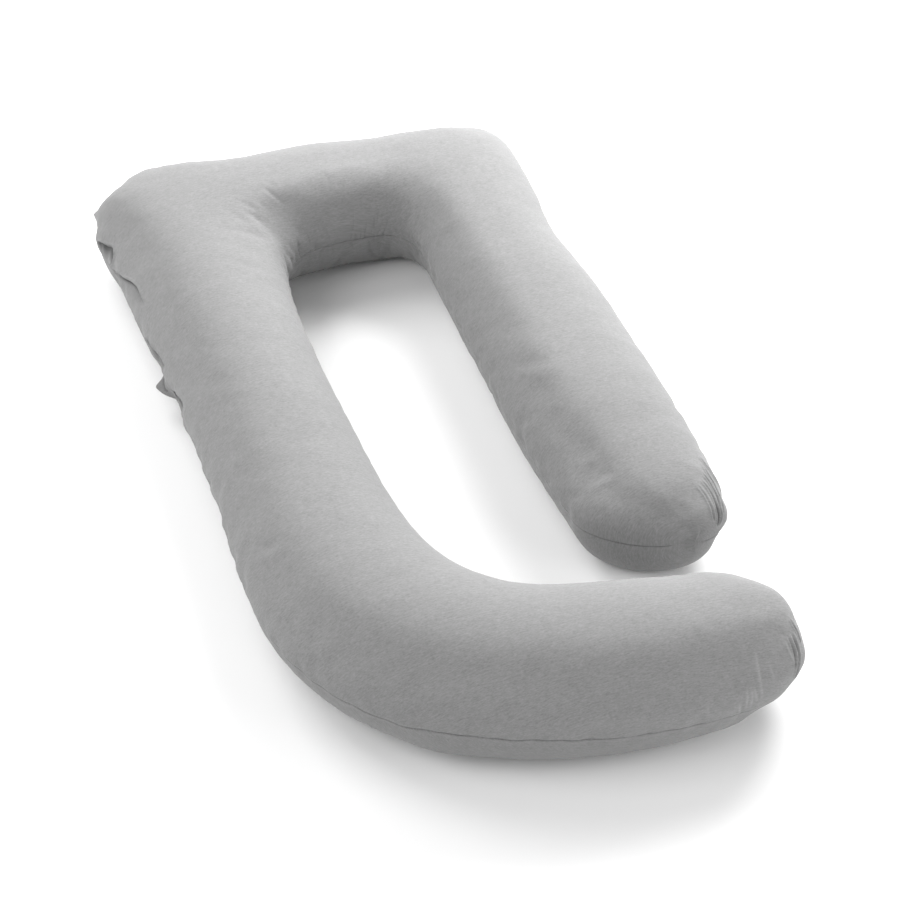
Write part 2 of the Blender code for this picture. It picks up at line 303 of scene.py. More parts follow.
DARK_YARN = 0.28            # greys of the cloth, from 0 for black to 1 for white
LIGHT_YARN = 0.45
PAINTED_SHADE_GREY = 0.08                 # painted shade in the seam and the creases
PAINTED_HIGHLIGHT_GREY = 0.75               # painted highlight on their crests
SEWING_THREAD = (0.16, 0.34)
STREAKS = (85, 420)         # features in a metre, across and along the knitted columns
FLECKS = (250, 850)
MOTTLE = (22, 60)
COLUMN = 0.0013             # one knitted column across, and one stitch along it
STITCH_ROW = 0.0011

# ---- camera at the photograph's angle, and light -------------------------------------------------------

AIM = Vector((0.0315, -0.0876, 0.080))
AZIMUTH = math.radians(-18.5)
ELEVATION = math.radians(43.5)
DISTANCE = 3.175
LENS = 80.0
SENSOR = 36.0
LIGHTS = (
    # name, place, side of the square, watts
    ("key", (2.0, 2.0, 1.8), 2.2, 220),
    ("back", (-1.5, 2.5, 3.0), 2.2, 103),
    ("left", (-2.5, -0.5, 2.5), 2.2, 60),
    ("low front", (1.8, -1.8, 1.2), 1.4, 22),
    ("front", (0.3, -3.0, 0.8), 1.4, 10),
)
SURROUND = 0.35
FLOOR_GREYS = (0.86, 0.88)
FLOOR_HALF = 8.0
FLOOR_LOW = -0.0004         # just under the pillow


# ---- sections ------------------------------------------------------------------------------------------

def spline(places, rows, wanted):
    """Natural cubic spline through the rows at the given places, read at the wanted places."""
    steps = np.diff(places)
    matrix = np.eye(len(places))
    target = np.zeros_like(rows)
    for k in range(1, len(places) - 1):
        matrix[k, k - 1:k + 2] = (steps[k - 1], 2 * (steps[k - 1] + steps[k]), steps[k])
        target[k] = 6 * ((rows[k + 1] - rows[k]) / steps[k] - (rows[k] - rows[k - 1]) / steps[k - 1])
    bends = np.linalg.solve(matrix, target)
    k = np.clip(np.searchsorted(places, wanted, side="right") - 1, 0, len(places) - 2)
    step = steps[k][:, None]
    back = (places[k + 1] - wanted)[:, None] / step
    ahead = 1 - back
    curve = ((back ** 3 - back) * bends[k] + (ahead ** 3 - ahead) * bends[k + 1]) * step ** 2 / 6
    return back * rows[k] + ahead * rows[k + 1] + curve


def bell(value):
    """Bell shape: 1 at zero, and near nothing beyond 2."""
    return np.exp(-value ** 2)


def placed(name, data):
    """New object of the scene."""
    piece = bpy.data.objects.new(name, data)
    bpy.context.scene.collection.objects.link(piece)
    return piece


def length_along(points):
    """Running length along a line of points."""
    return np.concatenate(([0.0], np.cumsum(np.linalg.norm(np.diff(points, axis=0), axis=1))))


class Tube:
    """Sections of the whole tube as arrays, from the short leg's tip to the curl's tip."""

    def __init__(self, fineness):
        shape, fullness = SECTIONS[:, :FULLNESS], SECTIONS[:, FULLNESS]
        places = length_along((shape[:, OUTER] + shape[:, INNER]) / 2)
        fine_places = np.linspace(0.0, places[-1], 1000)
        outer_length = length_along(spline(places, shape, fine_places)[:, OUTER])
        count = int(round(outer_length[-1] / fineness["station"])) + 1
        even = np.interp(np.linspace(0.0, outer_length[-1], count), outer_length, fine_places)
        rows = spline(places, shape, even)
        self.outer = rows[:, OUTER]
        self.inner = rows[:, INNER]
        self.rise = rows[:, CROWN] - SEAM_HEIGHT
        self.full = np.ones(count)
        self.inside = SECTION_POWER + (INSIDE_POWER - SECTION_POWER) * np.interp(even, places, fullness)
        self.way = even
        self.unrolled = (self.outer + self.inner) / 2
        self.tips = []
        self.close(0, SHORT_LEG_END, fineness["close"])
        self.close(-1, CURL_END, fineness["close"])
        for joint in (even[0], even[-1]):
            self.rise = eased(self.way, self.rise, joint)
        self.middle = (self.outer + self.inner) / 2
        across = self.outer - self.inner
        self.half_width = np.linalg.norm(across, axis=1) / 2
        self.outward = across / (2 * self.half_width[:, None])
        dip = np.interp(self.outer[:, 0], SEAM_DIP["x"], SEAM_DIP["depth"])
        dip = dip * (self.outer[:, 1] < SEAM_DIP["ahead_of_y"])
        self.seam_turn = np.sign(dip) * np.arcsin((np.abs(dip) / LOWER_DEPTH) ** (SECTION_POWER / 2))

    def close(self, index, end, steps):
        """Adds the sections of one closed end, and its tip."""
        outer, inner = self.outer[index], self.inner[index]
        middle = (outer + inner) / 2
        half_width = np.linalg.norm(outer - inner) / 2
        outward = (outer - inner) / (2 * half_width)
        neighbour = 1 if index == 0 else -2
        ahead = middle - (self.outer[neighbour] + self.inner[neighbour]) / 2
        ahead = ahead - outward * ahead.dot(outward)
        ahead = ahead / np.linalg.norm(ahead)
        angle = np.pi / 2 * np.arange(1, steps) / steps
        width = (half_width * np.cos(angle) ** CLOSE_WIDTH_POWER)[:, None]
        full = np.cos(angle) ** CLOSE_HEIGHT_POWER
        advance = end["reach"] * np.sin(angle)
        centre = middle + np.outer(advance, ahead) + np.outer(1 - np.cos(angle), outward) * end["lean"]
        crown = np.column_stack((np.append(0.0, advance), self.rise[index] * np.append(1.0, full)))
        roll = length_along(crown)[1:]
        way = self.way[index] + (-1 if index == 0 else 1) * roll
        new = {
            "outer": centre + width * outward,
            "inner": centre - width * outward,
            "rise": self.rise[index] * full,
            "full": full,
            "inside": np.full(steps - 1, SECTION_POWER),
            "way": way,
            "unrolled": centre + np.outer(roll - advance, ahead),
        }
        for name, values in new.items():
            old = getattr(self, name)
            setattr(self, name, np.concatenate((values[::-1], old) if index == 0 else (old, values)))
        tip = middle + ahead * end["reach"] + outward * end["lean"]
        self.tips.append((tip[0], tip[1], SEAM_HEIGHT))


def eased(way, values, joint):
    """Values that change more gently near one place along the tube."""
    near = bell((way - joint) / EASING)
    for _ in range(4):
        soft = (np.interp(way - EASING / 2, way, values) + np.interp(way + EASING / 2, way, values)) / 2
        values = values + (soft - values) * near * 0.6
    return values


def squared_off(value):
    """Sines or cosines of the section's superellipse."""
    return np.sign(value) * np.abs(value) ** (2 / SECTION_POWER)


def section(angle, power):
    """Across and up on a superellipse of any power, spread as evenly as on the plain section."""
    across = np.abs(np.cos(angle)) ** (power / SECTION_POWER)
    up = np.abs(np.sin(angle)) ** (power / SECTION_POWER)
    size = np.hypot(across, up)
    across = np.sign(np.cos(angle)) * (across / size) ** (2 / power)
    up = np.sign(np.sin(angle)) * (up / size) ** (2 / power)
    return across, up


class Ring:
    """Angles round a section, closer together by the two seams: first the top panel, then the bottom one."""

    TYPICAL_HALF_WIDTH = 0.125
    TYPICAL_RISE = 0.105

    def __init__(self, fineness):
        rests_at = math.asin((SEAM_HEIGHT / LOWER_DEPTH) ** (SECTION_POWER / 2))
        half_top = self.spread(np.pi / 2, self.TYPICAL_RISE, fineness)
        side = self.spread(rests_at, LOWER_DEPTH, fineness)
        flat = np.linspace(rests_at, np.pi - rests_at, FLAT_STEPS + 1)[1:-1]
        top = np.concatenate((half_top, np.pi - half_top[-2::-1]))
        bottom = np.concatenate((side[1:], flat, np.pi - side[:0:-1]))
        self.angle = np.concatenate((top, np.pi + bottom))
        self.crown = len(half_top) - 1
        self.inner_seam = len(top) - 1
        self.underside = self.inner_seam + (len(bottom) + 1) // 2
        upper = np.clip(1 - self.angle / (np.pi / 2), 0, 1)
        lower = np.clip(1 - (2 * np.pi - self.angle) / rests_at, 0, 1)
        self.by_outer_seam = upper ** 2 + lower ** 2

    def spread(self, last, height, fineness):
        """Angles from a seam to the last angle, at the wanted spacing along the cloth."""
        angle = np.linspace(0.0, last, 2000)
        across = self.TYPICAL_HALF_WIDTH * squared_off(np.cos(angle))
        along = length_along(np.column_stack((across, height * squared_off(np.sin(angle)))))
        seam = np.cumsum((0.0,) + fineness["seam"])
        count = max(2, int(round((along[-1] - seam[-1]) / fineness["ring"])))
        wanted = np.concatenate((seam, np.linspace(seam[-1], along[-1], count + 1)[1:]))
        return np.interp(wanted, along, angle)


def touch_down(height):
    """Height of the cloth above the surface that it lies on, rolling onto it."""
    rolling = (np.clip(height, -TOUCH_DOWN, TOUCH_DOWN) + TOUCH_DOWN) ** 2 / (4 * TOUCH_DOWN)
    return np.where(height > TOUCH_DOWN, height, rolling)


def cover_grid(tube, ring):
    """Plain surface of the filled cover: a point for each section and angle."""
    angle = ring.angle[None, :] - tube.seam_turn[:, None] * ring.by_outer_seam[None, :]
    on_inside = (ring.angle > np.pi / 2) & (ring.angle < np.pi)
    power = np.where(on_inside[None, :], tube.inside[:, None], SECTION_POWER)
    across, up = section(angle, power)
    across = tube.half_width[:, None] * across
    above = SEAM_HEIGHT + tube.rise[:, None] * up
    below = touch_down(SEAM_HEIGHT + LOWER_DEPTH * tube.full[:, None] * up)
    plan = tube.middle[:, None, :] + tube.outward[:, None, :] * across[:, :, None]
    return np.dstack((plan, np.where(up > 0, above, below)))


def normals_of(grid):
    """Outward unit normals of a grid of rings."""
    along = np.gradient(grid, axis=0)
    around = np.roll(grid, -1, axis=1) - np.roll(grid, 1, axis=1)
    normal = np.cross(along, around)
    normal /= np.linalg.norm(normal, axis=2)[:, :, None] + 1e-12
    centre = grid.mean(axis=1)[:, None, :]
    return normal * np.sign(((grid - centre) * normal).sum(axis=2).mean())


def facts_of(tube, ring, grid):
    """What each point of the grid knows: its normal, way along the tube, height over the seam, how full the
    tube is there, and its place on both flat panels."""
    steps = np.linalg.norm(np.roll(grid, -1, axis=1) - grid, axis=2)
    run = np.concatenate((np.zeros((len(grid), 1)), np.cumsum(steps, axis=1)), axis=1)
    whole = run[:, -1:]
    run = run[:, :-1]
    columns = np.arange(grid.shape[1])
    on_top = columns <= ring.inner_seam
    top_width = run[:, ring.inner_seam:ring.inner_seam + 1]
    outer_seam = np.where(on_top, run, run - whole)
    inner_seam = top_width - run
    seam = np.where(np.abs(outer_seam) < np.abs(inner_seam), outer_seam, inner_seam)
    top_out = run[:, ring.crown:ring.crown + 1] - run
    bottom_out = run - run[:, ring.underside:ring.underside + 1]
    bottom_out = np.where(columns == 0, whole + bottom_out, bottom_out)
    normal = normals_of(grid)
    facts = {"normal_x": normal[:, :, 0], "normal_y": normal[:, :, 1], "normal_z": normal[:, :, 2],
             "way": np.repeat(tube.way[:, None], grid.shape[1], axis=1), "seam": seam,
             "full": np.repeat(tube.full[:, None], grid.shape[1], axis=1)}
    for name, out in (("top", top_out), ("bottom", bottom_out)):
        flat = tube.unrolled[:, None, :] + tube.outward[:, None, :] * out[:, :, None]
        facts[name + "_x"] = flat[:, :, 0]
        facts[name + "_y"] = flat[:, :, 1]
    return facts


# ---- small noise that is the same each time ------------------------------------------------------------

def waves(places, seed, lengths, count=24):
    """Uneven ripple along a line, between about -1 and 1, from waves of random length and phase."""
    random = np.random.default_rng(seed)
    total = np.zeros_like(places)
    for _ in range(count):
        length = random.uniform(*lengths)
        total += np.sin(places * 2 * np.pi / length + random.uniform(0, 2 * np.pi))
    return total / math.sqrt(count * 2)


def lumps(points, seed, lengths, count=40):
    """Uneven swell over space, between about -1 and 1."""
    random = np.random.default_rng(seed)
    total = np.zeros(len(points))
    for _ in range(count):
        direction = random.normal(size=3)
        direction /= np.linalg.norm(direction)
        length = random.uniform(*lengths)
        total += np.sin(points @ direction * 2 * np.pi / length + random.uniform(0, 2 * np.pi))
    return total / math.sqrt(count * 2)


def blurred(grid, width):
    """Grid of numbers, smoothed over a few neighbours; it closes on itself from side to side."""
    reach = int(3 * width)
    weights = bell(np.arange(-reach, reach + 1) / (1.4 * width))
    weights /= weights.sum()
    padded = np.concatenate((np.repeat(grid[:1], reach, axis=0), grid, np.repeat(grid[-1:], reach, axis=0)))
    down = sum(weight * padded[k:k + len(grid)] for k, weight in enumerate(weights))
    return sum(weight * np.roll(down, k - reach, axis=1) for k, weight in enumerate(weights))


# ---- mesh ----------------------------------------------------------------------------------------------

def grid_mesh(name, grid, tips, facts):
    """Closed mesh of a grid of rings with a point at each end, which carries the points' facts."""
    rows, columns = grid.shape[:2]
    number = np.arange(rows * columns).reshape(rows, columns)
    after = np.roll(number, -1, axis=1)
    quads = np.stack((number[:-1], number[1:], after[1:], after[:-1]), axis=2).reshape(-1, 4)
    first, last = rows * columns, rows * columns + 1
    fans = [(number[0, k], after[0, k], first) for k in range(columns)]
    fans += [(number[-1, k], last, after[-1, k]) for k in range(columns)]
    data = bpy.data.meshes.new(name)
    points = np.concatenate((grid.reshape(-1, 3), tips))
    data.from_pydata(points.tolist(), [], quads.tolist() + [tuple(int(v) for v in fan) for fan in fans])
    for fact, values in facts.items():
        at_tips = (values[0].mean(), values[-1].mean())
        layer = data.attributes.new(fact, "FLOAT", "POINT")
        layer.data.foreach_set("value", np.concatenate((values.ravel(), at_tips)).astype(np.float32))
    data.update()
    return data


def smooth_path(points, count=60):
    """Evenly read spline through a few points."""
    points = np.array(points)
    places = length_along(points)
    return spline(places, points, np.linspace(0.0, places[-1], count))


def near_path(points, path, normals=None):
    """Each point's distance from a path, its place along it from 0 to 1, and how far it lies to the right of
    it, seen from outside."""
    box = (points > path.min(axis=0) - NEARBY).all(axis=1) & (points < path.max(axis=0) + NEARBY).all(axis=1)
    distance = np.full(len(points), 1.0)
    place = np.zeros(len(points))
    right = np.zeros(len(points))
    chosen = np.flatnonzero(box)
    apart = np.linalg.norm(points[chosen][:, None, :] - path[None, :, :], axis=2)
    nearest = apart.argmin(axis=1)
    low = np.clip(nearest - 1, 0, len(path) - 2)
    best = np.full(len(chosen), 1.0)
    best_place = np.zeros(len(chosen))
    best_right = np.zeros(len(chosen))
    for start in (low, np.clip(low + 1, 0, len(path) - 2)):
        a, b = path[start], path[start + 1]
        t = np.clip(((points[chosen] - a) * (b - a)).sum(axis=1) / ((b - a) ** 2).sum(axis=1), 0, 1)
        apart = points[chosen] - a - (b - a) * t[:, None]
        d = np.linalg.norm(apart, axis=1)
        closer = d < best
        best = np.where(closer, d, best)
        best_place = np.where(closer, (start + t) / (len(path) - 1), best_place)
        if normals is not None:
            across = np.cross((b - a) / np.linalg.norm(b - a, axis=1)[:, None], normals[chosen])
            best_right = np.where(closer, (apart * across).sum(axis=1), best_right)
    distance[chosen] = best
    place[chosen] = best_place
    right[chosen] = best_right
    return distance, place, right


def refined(data, paths, times):
    """The mesh with its faces near the paths cut finer."""
    mesh = bmesh.new()
    mesh.from_mesh(data)
    room = CREASE_ROOM
    for _ in range(times):
        mesh.faces.ensure_lookup_table()
        centres = np.array([face.calc_center_median() for face in mesh.faces])
        near = np.zeros(len(centres), dtype=bool)
        for path in paths:
            near |= near_path(centres, path)[0] < room
        edges = {edge for k in np.flatnonzero(near) for edge in mesh.faces[k].edges}
        bmesh.ops.subdivide_edges(mesh, edges=list(edges), cuts=1, use_grid_fill=True)
        room *= 0.75
    mesh.to_mesh(data)
    mesh.free()
    data.update()
    return data


def read_all(items, name, kind=np.float32, each=1):
    """One property of all the items as an array."""
    values = np.zeros(len(items) * each, dtype=kind)
    items.foreach_get(name, values)
    return values


def read_points(data):
    """Points of the mesh as an array."""
    return read_all(data.vertices, "co", each=3).reshape(-1, 3).astype(float)


# ---- shape of the cloth --------------------------------------------------------------------------------

def pressed_seam(facts):
    """How far the seam moves the cloth out: its groove, its puckers and the swells beside it."""
    seam, way, full = facts["seam"], facts["way"], facts["full"]
    uneven = 0.85 + 0.25 * waves(way, 5, SEAM_GROOVE["uneven_over"])
    groove = -SEAM_GROOVE["depth"] * uneven * bell(seam / SEAM_GROOVE["width"]) * np.sqrt(full)
    strength = 0.5 + 0.5 * waves(way, 4, SEAM_PUCKER["comes_and_goes_over"])
    ripple = waves(way, 3, SEAM_PUCKER["lengths"]) * strength
    pucker = SEAM_PUCKER["depth"] * ripple * np.exp(-np.abs(seam) / SEAM_PUCKER["reach"])
    swell = sum(out * bell((seam - place) / width) for place, width, out in SEAM_SWELLS.values())
    to_front = np.clip((FRONT[0] * facts["normal_x"] + FRONT[1] * facts["normal_y"]) / 0.3, 0, 1)
    front = sum(out * bell((seam - place) / width) for place, width, out in FRONT_SWELLS.values())
    return groove + (swell + front * to_front + pucker) * full


def pressed_creases(points, normals):
    """How far the creases move the cloth out, and the painted shade they give it, with painted highlights on
    the shoulders below 0.
    """
    out = np.zeros(len(points))
    shade = np.zeros(len(points))
    light = np.zeros(len(points))
    for crease in CREASES.values():
        distance, place, right = near_path(points, smooth_path(crease.path), normals)
        taper = np.clip(2.2 * np.sin(np.pi * np.clip(place, 0, 1)) ** 0.8, 0, 1)
        width = crease.half_width * (0.55 + 0.45 * taper)
        groove = bell(distance / width) * taper * np.clip(place / crease.fade, 0, 1)
        shoulder = bell((distance - 2.3 * width) / (1.3 * width)) * taper
        tucked = np.zeros(len(points))
        if crease.tuck:
            tucked = np.clip(right / width, 0, 1) * bell(distance / TUCK_REACH) * taper
            shoulder = shoulder * (right < 0)
            out -= crease.tuck * tucked
        out += crease.shoulder * shoulder - crease.depth * groove
        line = crease.line or min(1.0, crease.depth / FULLY_DARK)
        # painted shade in the groove and on the tucked cloth, painted highlight on the shoulders
        shade = np.maximum(shade, np.maximum(groove * line, crease.dark * tucked))
        light = np.maximum(light, crease.light * shoulder)
    return out, shade - light * (1 - shade)


def raised_ridges(points):
    """How far the tension ridges lift the cloth, and how near a ridge each point is, which sets its painted
    highlight.
    """
    out = np.zeros(len(points))
    light = np.zeros(len(points))
    for height, half_width, path in RIDGES.values():
        distance, place, _ = near_path(points, smooth_path(path))
        near = bell(distance / half_width) * np.sin(np.pi * np.clip(place, 0, 1)) ** 0.7
        out += height * near
        light = np.maximum(light, near)
    return out, light


def bumped(points):
    """How far the bumps move the cloth out."""
    out = np.zeros(len(points))
    for middle, height, reach in BUMPS.values():
        out += height * bell(np.linalg.norm(points - np.array(middle), axis=1) / reach)
    return out


def pulled_ear(points):
    """Offsets of the loose fold on the long leg's outer side, and how far each point belongs to it."""
    away = points[:, 1] - EAR["middle"][0]
    reach = np.where(away > 0, EAR["behind"], EAR["ahead"])
    apart = np.sqrt(away ** 2 + EAR["blunt"] ** 2) - EAR["blunt"]
    along = np.clip(1 - apart / reach, 0, 1) ** np.where(away > 0, 1.2, 0.7)
    on_outer_side = points[:, 0] < EAR["side_x"]
    size = along * bell((points[:, 2] - EAR["middle"][1]) / EAR["half_height"]) * on_outer_side
    return np.outer(size, (-EAR["out"], 0.0, -EAR["droop"])), size


def slackness(flat, facts):
    """Slack of the cloth at each point, from 0 to 1: in the inner corners, at the ends and by the seam."""
    amount = SLACK["seam"] * bell(facts["seam"].ravel() / SLACK["seam_reach"])
    amount = amount + SLACK["end"] * (1 - facts["full"].ravel())
    for x, y, slack in INNER_CORNERS:
        away = np.linalg.norm(flat[:, 0:2] - (x, y), axis=1)
        amount = amount + slack * bell(away / SLACK["corner_reach"])
    return np.clip(amount, 0, 1)


def simulated_ripples(tube, ring):
    """How far the ripples of the filled, slack cloth stand out, on the rough grid."""
    grid = cover_grid(tube, ring)
    facts = facts_of(tube, ring, grid)
    flat = grid.reshape(-1, 3)
    normal = normals_of(grid)
    uneven = START_SWELL["height"] * lumps(flat, 21, START_SWELL["lengths"]) * (flat[:, 2] > HELD_BELOW)
    start = grid + normal * uneven.reshape(grid.shape[:2])[:, :, None]
    piece = placed("filling", grid_mesh("filling", start, tube.tips, {}))
    held = piece.vertex_groups.new(name="held")
    still = (flat[:, 2] < HELD_BELOW) | (facts["seam"].ravel() == 0)
    held.add(np.flatnonzero(still).tolist(), 1.0, "REPLACE")
    taut = piece.vertex_groups.new(name="taut")
    for number, amount in enumerate(slackness(flat, facts)):
        taut.add([number], float(1 - amount), "REPLACE")
    cloth = piece.modifiers.new("cloth", "CLOTH")
    for name, value in CLOTH.items():
        setattr(cloth.settings, name, value)
    cloth.settings.vertex_group_mass = "held"
    cloth.settings.vertex_group_shrink = "taut"
    cloth.settings.shrink_min = -SLACK["most"]
    cloth.settings.shrink_max = 0.0
    cloth.settings.effector_weights.gravity = 0.0
    cloth.collision_settings.use_collision = False
    for number in range(1, LAST_FRAME + 1):
        bpy.context.scene.frame_set(number)
    filled = piece.evaluated_get(bpy.context.evaluated_depsgraph_get()).to_mesh()
    moved = read_points(filled)[:len(flat)] - flat
    bpy.data.objects.remove(piece)
    bpy.context.scene.frame_set(1)
    out = (moved.reshape(grid.shape) * normal).sum(axis=2)
    out = out - blurred(out, RIPPLE_BLUR)
    return RIPPLE_CAP * np.tanh(out / RIPPLE_CAP)


def read_between(values, rough_tube, rough_ring, tube, ring):
    """Values of the rough grid at the points of the fine one."""
    along = spline(rough_tube.way, values, np.clip(tube.way, rough_tube.way[0], rough_tube.way[-1]))
    angles = np.append(rough_ring.angle, 2 * np.pi)
    closed = np.concatenate((along, along[:, :1]), axis=1).T
    return spline(angles, closed, ring.angle).T


def shaped_cover():
    """The finished cover mesh."""
    tube = Tube(FINE)
    ring = Ring(FINE)
    grid = cover_grid(tube, ring)
    rough_tube, rough_ring = Tube(COARSE), Ring(COARSE)
    ripples = simulated_ripples(rough_tube, rough_ring)
    grid += normals_of(grid) * read_between(ripples, rough_tube, rough_ring, tube, ring)[:, :, None]
    facts = facts_of(tube, ring, grid)
    data = grid_mesh("pillow_cover", grid, tube.tips, facts)
    paths = [crease.path for crease in CREASES.values()] + [path for _, _, path in RIDGES.values()]
    data = refined(data, [smooth_path(path) for path in paths + [EAR_PATH]], 2)
    points = read_points(data)
    facts = {name: read_all(data.attributes[name].data, "value").astype(float) for name in facts}
    normal = np.column_stack((facts["normal_x"], facts["normal_y"], facts["normal_z"]))
    normal /= np.linalg.norm(normal, axis=1)[:, None] + 1e-12
    rests = np.clip(points[:, 2] / GROUNDED, 0, 1)
    out = WIDE_SWELL["height"] * lumps(points, 11, WIDE_SWELL["lengths"]) * rests
    out += pressed_seam(facts)
    crease_out, shade = pressed_creases(points, normal)
    ridge_out, light = raised_ridges(points)
    out += crease_out + ridge_out + bumped(points)
    ear_out, in_ear = pulled_ear(points)
    # the loose fold gets painted shade too
    shade = np.maximum(shade, EAR["dark"] * in_ear)
    points = points + normal * (out * rests)[:, None] + ear_out
    points[:, 2] = np.maximum(points[:, 2], 0.0)
    data.vertices.foreach_set("co", points.astype(np.float32).ravel())
    # the "crease" attribute carries painted shade from creases, tucked cloth and the loose fold, and below 0
    # painted highlight from crease shoulders and ridges
    layer = data.attributes.new("crease", "FLOAT", "POINT")
    layer.data.foreach_set("value", (shade - RIDGE_LIGHT * light).astype(np.float32))
    add_fabric_map(data, facts)
    for name in facts:
        data.attributes.remove(data.attributes[name])
    data.shade_smooth()
    data.update()
    rows, columns = grid.shape[:2]
    outer = np.arange(rows) * columns
    seam = np.concatenate((outer, [rows * columns + 1], (outer + ring.inner_seam)[::-1], [rows * columns]))
    return data, points[seam]


def add_fabric_map(data, facts):
    """UV maps in metres: "fabric" is the place on the flat panel, "seam" the way along and height over it."""
    loops = read_all(data.loops, "vertex_index", np.int32)
    starts = read_all(data.polygons, "loop_start", np.int32)
    totals = read_all(data.polygons, "loop_total", np.int32)
    on_top = np.add.reduceat(facts["seam"][loops], starts) > 0
    on_top = np.repeat(on_top, totals)
    x = np.where(on_top, facts["top_x"][loops], facts["bottom_x"][loops])
    y = np.where(on_top, facts["top_y"][loops], facts["bottom_y"][loops])
    for name, pair in (("fabric", (x, y)), ("seam", (facts["way"][loops], facts["seam"][loops]))):
        layer = data.uv_layers.new(name=name)
        layer.data.foreach_set("uv", np.column_stack(pair).astype(np.float32).ravel())


# ---- node trees as expressions -------------------------------------------------------------------------

class Value:
    """A number, vector or colour that a node tree works out, with the usual signs."""

    def __init__(self, tree, socket):
        self.tree = tree
        self.socket = socket

    def math(self, operation, *others):
        return self.tree.math(operation, self, *others)

    def __add__(self, other):
        return self.math("ADD", other)

    __radd__ = __add__

    def __sub__(self, other):
        return self.math("SUBTRACT", other)

    def __rsub__(self, other):
        return self.tree.math("SUBTRACT", other, self)

    def __mul__(self, other):
        return self.math("MULTIPLY", other)

    __rmul__ = __mul__

    def __truediv__(self, other):
        return self.math("DIVIDE", other)

    def __rtruediv__(self, other):
        return self.tree.math("DIVIDE", other, self)

    def __abs__(self):
        return self.math("ABSOLUTE")

    def sine(self):
        return self.math("SINE")

    def fraction(self):
        return self.math("FRACT")

    def clamped(self, low=0.0, high=1.0):
        return self.math("MAXIMUM", low).math("MINIMUM", high)

    def step(self, start, end):
        """Goes smoothly from 0 at the start to 1 at the end."""
        return self.tree.node("ShaderNodeMapRange", {"interpolation_type": "SMOOTHSTEP"}, {
            "Value": self, "From Min": start, "From Max": end}).out("Result")


class Node:
    """A node, which gives its outputs as values."""

    def __init__(self, tree, node):
        self.tree = tree
        self.node = node

    def out(self, name):
        return Value(self.tree, self.node.outputs[name])


class Tree:
    """A node tree that is written as expressions."""

    def __init__(self, tree):
        self.tree = tree

    def node(self, kind, settings=None, sockets=None):
        """Adds a node: its settings first, then its sockets, by name or number."""
        node = self.tree.nodes.new(kind)
        for name, value in (settings or {}).items():
            setattr(node, name, value)
        for name, value in (sockets or {}).items():
            self.put(node.inputs[name], value)
        return Node(self, node)

    def put(self, socket, value):
        """Sets a socket to a constant, or joins it to a value."""
        if isinstance(value, Value):
            self.tree.links.new(value.socket, socket)
        else:
            socket.default_value = value

    def math(self, operation, *values):
        return self.node("ShaderNodeMath", {"operation": operation}, dict(enumerate(values))).out(0)

    def vector(self, x, y, z=0.0):
        return self.node("ShaderNodeCombineXYZ", None, {"X": x, "Y": y, "Z": z}).out("Vector")


class Material(Tree):
    """A node material."""

    def __init__(self, name):
        self.material = bpy.data.materials.new(name)
        self.material.use_nodes = True
        super().__init__(self.material.node_tree)
        self.shader = self.tree.nodes["Principled BSDF"]

    def noise(self, place, detail=2.0, roughness=0.5):
        """Noise from 0 to 1 with features about 1 across."""
        return self.node("ShaderNodeTexNoise", None, {
            "Vector": place, "Scale": 1.0, "Detail": detail, "Roughness": roughness}).out("Fac")

    def blend(self, amount, one, other):
        """Mix of two colours."""
        return self.node("ShaderNodeMix", {"data_type": "RGBA"}, {0: amount, 6: one, 7: other}).out(2)

    def uv(self, name):
        """The two numbers of a UV map."""
        place = self.node("ShaderNodeUVMap", {"uv_map": name}).out("UV")
        split = self.node("ShaderNodeSeparateXYZ", None, {"Vector": place})
        return split.out("X"), split.out("Y")

    def finish(self, name, value):
        """Sets one socket of the surface."""
        self.put(self.shader.inputs[name], value)

    def relief(self, height, depth, strength):
        """Gives the surface a fine relief."""
        bump = self.node("ShaderNodeBump", None, {"Height": height, "Distance": depth, "Strength": strength})
        self.finish("Normal", bump.out("Normal"))


def grey(value):
    """Grey as a colour."""
    return (value, value, value, 1.0)


